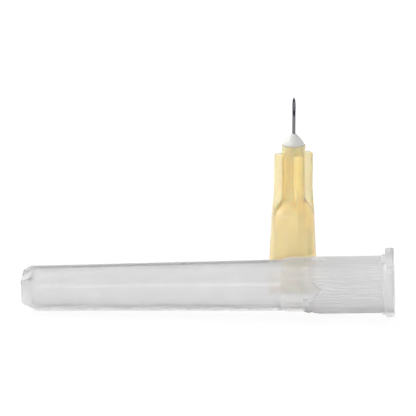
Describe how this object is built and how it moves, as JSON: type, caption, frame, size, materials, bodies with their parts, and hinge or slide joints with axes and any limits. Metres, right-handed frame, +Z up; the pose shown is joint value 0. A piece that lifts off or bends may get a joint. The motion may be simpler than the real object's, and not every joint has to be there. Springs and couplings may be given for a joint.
{
  "type": "hypodermic needle",
  "caption": "Fine-gauge hypodermic needle with a short bevelled steel cannula in a finned amber luer hub, and its milky fluted five-sided cap lying beside it.",
  "frame": {"origin": "centre of the luer socket's mouth, at the hub's foot, on the table", "axes": "+Z up along the needle to its point; +X along the cap towards its open end"},
  "size_m": [0.0447, 0.0173, 0.0246],
  "materials": {
    "amber_plastic": "translucent, satin",
    "milky_plastic": "translucent, satin",
    "steel": "ground and polished",
    "adhesive": "smooth, white"
  },
  "bodies": {
    "root": {"hub": "amber_plastic", "cannula": "steel", "glue_bead": "adhesive", "cap": "milky_plastic"}
  },
  "joints": []
}
